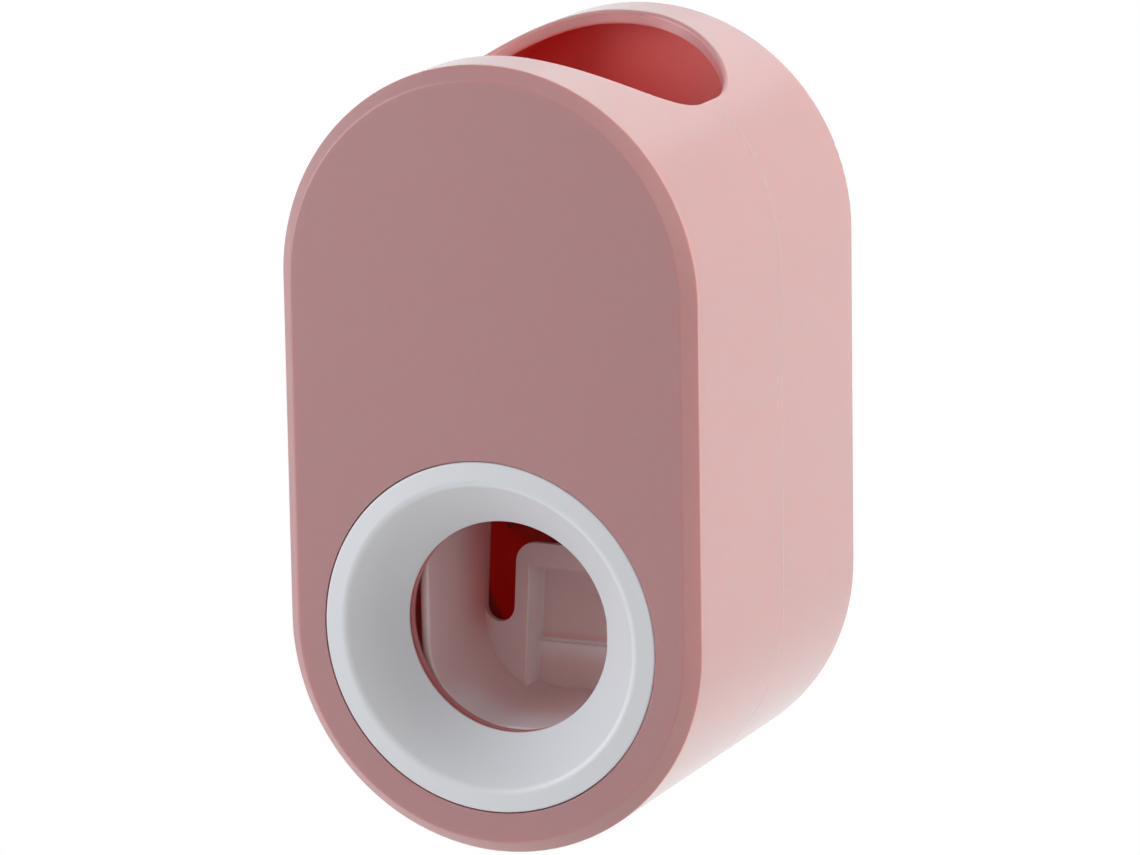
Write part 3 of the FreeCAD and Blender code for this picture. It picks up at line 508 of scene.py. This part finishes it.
def screwHead(wire, size, form, crown):
    head = wire.add("GeometryNodeMeshCylinder", {"fill_type": "NGON"},
                    {"Vertices": form["headSides"], "Radius": size["Head Radius"],
                     "Depth": size["Head Height"] * form["wall"]})
    top = head.also("Top")
    for rise, draw in form["dome"]:
        head = wire.add("GeometryNodeExtrudeMesh", {}, {"Mesh": head, "Selection": top,
                                                        "Offset Scale": size["Head Height"] * rise})
        top = head.also("Top")
        head = wire.add("GeometryNodeScaleElements", {}, {"Geometry": head, "Selection": top, "Scale": draw})
    reach, width, deep = size["Recess Reach"], size["Recess Width"], size["Recess Depth"] * 2
    for bar in (vector(wire, reach, width, deep), vector(wire, width, reach, deep)):
        cutter = shifted(wire.add("GeometryNodeMeshCube", {}, {"Size": bar}), vector(wire, z=crown))
        head = wire.add("GeometryNodeMeshBoolean", {"operation": "DIFFERENCE", "solver": "EXACT"},
                        {"Mesh 1": head, "Mesh 2": cutter})
    return head


def screwShank(wire, size, form, under):
    radius = size["Shank Radius"]
    shank = wire.add("GeometryNodeMeshCylinder", {"fill_type": "NGON"},
                     {"Vertices": form["shankSides"], "Radius": radius, "Depth": size["Length"] - radius})
    shank = wire.add("GeometryNodeExtrudeMesh", {}, {"Mesh": shank, "Selection": shank.also("Bottom"),
                                                     "Offset Scale": radius})
    shank = wire.add("GeometryNodeScaleElements", {}, {"Geometry": shank, "Selection": shank.also("Top"),
                                                       "Scale": form["point"]})
    return shifted(shank, vector(wire, z=(radius - size["Length"]) * 0.5 - under))


def screwThread(wire, size, form, under):
    radius = size["Shank Radius"]
    run = size["Length"] - radius * 2
    spiral = wire.add("GeometryNodeCurveSpiral", {}, {"Resolution": form["threadSteps"],
                                                      "Rotations": run / size["Thread Pitch"],
                                                      "Start Radius": radius, "End Radius": radius,
                                                      "Height": run})
    spiral = wire.add("GeometryNodeSetCurveNormal", {"mode": "Z_UP"}, {"Curve": spiral})
    thread = swept(spiral, form["threadSides"], size["Thread Ridge"])
    return shifted(thread, vector(wire, z=radius - size["Length"] - under))


def makeScrews(name, sizes, form, body, node):
    # built upright round the middle of the head's wall, then turned to face the front
    wire, size = newTree(name, sizes)
    under = size["Head Height"] * (form["wall"] / 2)
    crown = size["Head Height"] * (1 - form["wall"] / 2)
    screw = wire.add("GeometryNodeJoinGeometry")
    for made in (screwHead(wire, size, form, crown), screwShank(wire, size, form, under),
                 screwThread(wire, size, form, under)):
        wire.tree.links.new(made.socket, screw.socket.node.inputs[0])
    screw = shifted(screw, vector(wire, y=crown), (math.pi / 2, 0, 0))
    index = wire.add("GeometryNodeInputIndex")
    column = index.through("MODULO", form["perRow"])
    row = (index / form["perRow"]).through("FLOOR")
    spot = vector(wire, size["First X"] + column * size["Step X"], size["Front Y"],
                  size["First Z"] + row * size["Step Z"])
    points = wire.add("GeometryNodePoints", {}, {"Count": size["Count"], "Position": spot})
    placed = wire.add("GeometryNodeInstanceOnPoints", {}, {"Points": points, "Instance": screw})
    piece = bakeTree(wire, placed, name, sizes, finishes["steel"])
    settle(piece, body, node)


makeScrews("pumpScrews", screwSizes("pump_screws", 4, 8.5 * mm), screwForm, "housing", "pump_screws")
makeScrews("pistonScrew", screwSizes("piston_screw", 1, 9.0 * mm), screwForm, "pusher", "piston_screw")

weldDistance = 1e-7    # points closer than this are one


def finishMesh(name, work, material):
    bmesh.ops.remove_doubles(work, verts=work.verts, dist=weldDistance)
    bmesh.ops.recalc_face_normals(work, faces=work.faces)
    mesh = bpy.data.meshes.new(name)
    work.to_mesh(mesh)
    work.free()
    mesh.materials.append(material)
    smoothed(mesh, meshedCrease)
    piece = bpy.data.objects.new(name, mesh)
    scene.collection.objects.link(piece)
    return piece


def joinRings(work, first, second):
    # quads between two closed rings of equal count
    for here in range(len(first)):
        after = (here + 1) % len(first)
        work.faces.new((first[here], first[after], second[after], second[here]))


def loopFaces(work, loops, closed):
    rings = [[work.verts.new(point) for point in loop] for loop in loops]
    following = rings[1:] + rings[:1] if closed else rings[1:]
    for first, second in zip(rings, following):
        joinRings(work, first, second)
    return rings


def roundedCorners(corners, steps=5):
    # closed outline of (a, b, radius) corners, each turned into a small arc
    points = []
    for index, (a, b, radius) in enumerate(corners):
        here = Vector((a, b))
        before = (Vector(corners[index - 1][:2]) - here).normalized()
        after = (Vector(corners[(index + 1) % len(corners)][:2]) - here).normalized()
        first = here + before * radius
        last = here + after * radius
        for step in range(steps + 1):
            share = step / steps
            points.append(first.lerp(here, share).lerp(here.lerp(last, share), share))
    return points


# tube seal: soft ring with a rolled lip round its bore
# roll gives each corner's mm outside the bevel, share of the groove's depth and radius in mm
sealLow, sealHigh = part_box("tube_seal")
tubeSeal = {"segments": 72, "bore": 5.0 * mm, "cup": 1.0 * mm, "bevel": 0.8 * mm, "edge": 0.25 * mm,
            "lip": 0.3 * mm, "groove": 0.25 * mm,
            "roll": ((1.2, 0, 0.3), (0.9, 1, 0.2), (0.5, 1, 0.2), (0.2, 0, 0.15), (-0.1, 0, 0.15))}


def makeTubeSeal(size):
    outer = (sealHigh.x - sealLow.x) / 2
    middle = (sealLow + sealHigh) / 2
    bore, low, high, edge = size["bore"], sealLow.z, sealHigh.z, size["edge"]
    shoulder = bore + size["bevel"]
    corners = [(bore + size["cup"], low, edge), (outer, low, edge), (outer, high, edge)]
    for out, sunk, radius in size["roll"]:
        corners.append((shoulder + out * mm, high - sunk * size["groove"], radius * mm))
    corners += [(bore, high - size["bevel"], size["lip"]), (bore, low + size["cup"], edge)]
    outline = roundedCorners(corners)
    loops = []
    for step in range(size["segments"]):
        turn = 2 * math.pi * step / size["segments"]
        loops.append([(middle.x + r * math.cos(turn), middle.y + r * math.sin(turn), z) for r, z in outline])
    work = bmesh.new()
    loopFaces(work, loops, True)
    piece = finishMesh("tubeSeal", work, finishes["silicone"])
    settle(piece, "housing", "tube_seal")
    print("tube seal made")


makeTubeSeal(tubeSeal)

# nozzle: flanged duckbill, round at the deck and pinched to a slit; a power of 2 is round, more is squarer
nozzleLow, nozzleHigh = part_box("nozzle")
nozzle = {"segments": 64, "flange": 1.2 * mm, "stalk": 3.0 * mm, "bore": 2.0 * mm, "drop": 3.1 * mm,
          "tip": 0.75 * mm, "slit": (2.0 * mm, 0.2 * mm), "edge": 0.18 * mm, "billSteps": 10,
          "straight": 0.25, "roundPower": 2, "tipPower": 3.6, "throatPower": 2.6, "throatFlare": 1.6,
          "throat": (-0.4 * mm, 0.6 * mm)}


def superLoop(centre, halfX, halfY, power, z, segments):
    loop = []
    for step in range(segments):
        turn = 2 * math.pi * step / segments
        c, s = math.cos(turn), math.sin(turn)
        loop.append((centre.x + halfX * math.copysign(abs(c) ** (2 / power), c),
                     centre.y + halfY * math.copysign(abs(s) ** (2 / power), s), z))
    return loop


def makeNozzle(size):
    middle = (nozzleLow + nozzleHigh) / 2
    rim = (nozzleHigh.x - nozzleLow.x) / 2
    top, tip, edge = nozzleHigh.z, nozzleLow.z, size["edge"]
    under, stalk, bore = top - size["flange"], size["stalk"], size["bore"]
    shoulder = tip + size["drop"]
    roundPower, tipPower = size["roundPower"], size["tipPower"]
    collar = [(bore, top), (rim - edge, top), (rim, top - edge), (rim, under + edge), (rim - edge, under),
              (stalk + edge, under), (stalk, under - edge), (stalk, shoulder)]
    sections = [(radius, radius, roundPower, z) for radius, z in collar]
    for step in range(1, size["billSteps"] + 1):
        share = step / size["billSteps"]
        ease = share * share * (3 - 2 * share)
        pinch = size["straight"] * share + (1 - size["straight"]) * ease
        sections.append((stalk, stalk + (size["tip"] - stalk) * pinch,
                         roundPower + (tipPower - roundPower) * share,
                         shoulder + (tip + edge - shoulder) * share))
    slitX, slitY = size["slit"]
    throatLow, throatHigh = size["throat"]
    sections += [(stalk - edge, size["tip"] - edge, tipPower, tip),
                 (slitX + edge, slitY + edge, tipPower, tip), (slitX, slitY, tipPower, tip + edge),
                 (slitX, slitY * size["throatFlare"], size["throatPower"], shoulder + throatLow),
                 (bore, bore, roundPower, shoulder + throatHigh)]
    work = bmesh.new()
    loopFaces(work, [superLoop(middle, *section, size["segments"]) for section in sections], True)
    piece = finishMesh("nozzle", work, finishes["silicone"])
    settle(piece, "housing", "nozzle")
    print("nozzle made")


makeNozzle(nozzle)

# adhesive pad: die-cut foam, a little compressed at its cut edge, with shallow dimples in its faces
padLow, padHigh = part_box("adhesive_pad")
adhesivePad = {"corner": 5.0 * mm, "cornerSteps": 14, "sideSteps": 24, "edge": 0.22 * mm, "rounding": 0.3,
               "waist": 0.12 * mm, "rings": (0.92, 0.8, 0.65, 0.5, 0.35, 0.2, 0.08), "dimple": 0.03 * mm,
               "ripple": (0.7, 23), "swell": (0.13, 41)}


def padOutline(half, corner, size):
    inner = half - corner
    points = []
    for turn in range(4):
        way = Matrix.Rotation(turn * math.pi / 2, 2)
        for step in range(size["sideSteps"]):
            points.append(way @ Vector((half, -inner + 2 * inner * step / size["sideSteps"])))
        for step in range(size["cornerSteps"]):
            angle = math.pi / 2 * step / size["cornerSteps"]
            points.append(way @ Vector((inner + corner * math.cos(angle), inner + corner * math.sin(angle))))
    return points


def padDimple(index, share, size):
    ripple = math.sin(index * size["ripple"][0] + share * size["ripple"][1])
    swell = math.sin(index * size["swell"][0] + share * size["swell"][1])
    return size["dimple"] * (0.5 + 0.5 * ripple * swell)


def makePad(size):
    half = (padHigh.x - padLow.x) / 2
    front, back, edge = padLow.y, padHigh.y, size["edge"]
    eased = edge * size["rounding"]
    profile = [(edge, front), (eased, front + eased), (0.0, front + edge),
               (size["waist"], (front + back) / 2),
               (0.0, back - edge), (eased, back - eased), (edge, back)]
    loops = []
    for inset, y in profile:
        loops.append([(x, y, z) for x, z in padOutline(half - inset, size["corner"] - inset, size)])
    work = bmesh.new()
    rings = loopFaces(work, loops, False)
    for ring, y, inward in ((rings[-1], back, -1), (rings[0], front, 1)):
        outer = ring
        for share in size["rings"]:
            inner = []
            for index, vert in enumerate(ring):
                dip = inward * padDimple(index, share, size)
                inner.append(work.verts.new((vert.co.x * share, y + dip, vert.co.z * share)))
            joinRings(work, outer, inner)
            outer = inner
        work.faces.new(outer)
    piece = finishMesh("adhesivePad", work, finishes["pad_foam"])
    settle(piece, "bracket", "adhesive_pad")
    print("adhesive pad made")


makePad(adhesivePad)

paleFloor = {"drop": 0.45, "radius": 1.2, "sides": 96, "fadeFrom": 0.7, "lift": 0.4, "speckScale": 6.0,
             "colour": (0.9, 0.9, 0.9, 1), "speck": (0.88, 0.88, 0.88, 1)}


def seenPlainly(wire):
    # 1 for what the camera sees directly, in a reflection or through something clear
    seen = wire.add("ShaderNodeLightPath", output="Is Camera Ray")
    mirrored = seen.through("MAXIMUM", seen.also("Is Glossy Ray"))
    return mirrored.through("MAXIMUM", seen.also("Is Transmission Ray"))


def makeFloor(size):
    # matt disc that fades to plain white towards its rim
    mesh = bpy.data.meshes.new("floor")
    work = bmesh.new()
    bmesh.ops.create_circle(work, cap_ends=True, segments=size["sides"], radius=size["radius"],
                            matrix=Matrix.Translation((0, 0, -size["drop"])))
    work.to_mesh(mesh)
    work.free()
    floor = bpy.data.objects.new("floor", mesh)
    scene.collection.objects.link(floor)
    made, wire, place = newMaterial("paleFloor")
    colour = noiseOn(place, size["speckScale"]).blend(size["colour"], size["speck"])
    matt = wire.add("ShaderNodeBsdfDiffuse", {}, {"Color": colour})
    seen = seenPlainly(wire)
    lift = wire.add("ShaderNodeEmission", {}, {"Strength": seen * size["lift"]})
    lifted = wire.add("ShaderNodeAddShader", {}, {0: matt, 1: lift})
    white = wire.add("ShaderNodeEmission", {}, {"Strength": seen})
    away = wire.add("ShaderNodeVectorMath", {"operation": "LENGTH"}, {0: place}, "Value")
    fade = away.step((size["fadeFrom"], size["radius"]))
    mixed = wire.add("ShaderNodeMixShader", {}, {0: fade, 1: lifted, 2: white})
    wire.add("ShaderNodeOutputMaterial", {}, {"Surface": mixed})
    mesh.materials.append(made)


makeFloor(paleFloor)

# toward is the way from the object to the lamp, reach its distance in metres
lamps = {
    "key": {"toward": (0.86, 0.20, 0.38), "reach": 1.1, "side": 0.8, "height": 0.8, "power": 9.5,
            "colour": (1.0, 0.955, 0.85)},
    "fill": {"toward": (-0.74, -0.63, 0.15), "reach": 0.9, "side": 0.6, "height": 0.6, "power": 4.5,
             "colour": (0.94, 0.97, 1.0)},
    "top": {"toward": (0.55, 0.20, 0.80), "reach": 1.1, "side": 0.6, "height": 0.6, "power": 2.7,
            "colour": (1.0, 1.0, 1.0)},
    "strip": {"toward": (0.0, 0.86, 0.50), "reach": 1.2, "side": 0.95, "height": 0.30, "power": 0.42,
              "colour": (1.0, 1.0, 1.0)},
}
worldLevel = 0.36    # what the white surroundings give the object; the camera sees them at 1


def makeLamps(settings):
    middle = (cadBox[0] + cadBox[1]) / 2
    for name, lamp in settings.items():
        light = bpy.data.lights.new(name, "AREA")
        light.shape = "RECTANGLE"
        light.size = lamp["side"]
        light.size_y = lamp["height"]
        light.energy = lamp["power"]
        light.color = lamp["colour"]
        holder = bpy.data.objects.new(name, light)
        way = Vector(lamp["toward"]).normalized()
        holder.location = middle + way * lamp["reach"]
        holder.rotation_euler = way.to_track_quat("Z", "Y").to_euler()
        scene.collection.objects.link(holder)


def makeWorld(level):
    world = bpy.data.worlds.new("studio")
    world.use_nodes = True
    world.node_tree.nodes.clear()
    wire = Wire(world.node_tree)
    strength = level + seenPlainly(wire) * (1.0 - level)
    sky = wire.add("ShaderNodeBackground", {}, {"Color": (1, 1, 1, 1), "Strength": strength})
    wire.add("ShaderNodeOutputWorld", {}, {"Surface": sky})
    scene.world = world


makeLamps(lamps)
makeWorld(worldLevel)
print("floor, lamps and world made")

# place in metres, turns in degrees, lens and sensor in mm
photoView = {"place": (0.357448, -0.838066, 0.190359), "yaw": 23.918, "pitch": 12.862, "roll": -0.938,
             "lens": 199.5, "sensor": 36.0, "nearest": 0.05, "farthest": 20.0}


def makeCamera(view):
    yaw, pitch, roll = (math.radians(view[key]) for key in ("yaw", "pitch", "roll"))
    back = Vector((math.sin(yaw) * math.cos(pitch), -math.cos(yaw) * math.cos(pitch), math.sin(pitch)))
    right = Vector((math.cos(yaw), math.sin(yaw), 0))
    up = back.cross(right)
    across = math.cos(roll) * right + math.sin(roll) * up
    upward = math.cos(roll) * up - math.sin(roll) * right
    turn = Matrix((across, upward, back)).transposed().to_4x4()
    data = bpy.data.cameras.new("photoCamera")
    data.sensor_width = view["sensor"]
    data.lens = view["lens"]
    data.clip_start = view["nearest"]
    data.clip_end = view["farthest"]
    camera = bpy.data.objects.new("photoCamera", data)
    camera.matrix_world = Matrix.Translation(view["place"]) @ turn
    scene.collection.objects.link(camera)
    scene.camera = camera


makeCamera(photoView)
print("camera set")
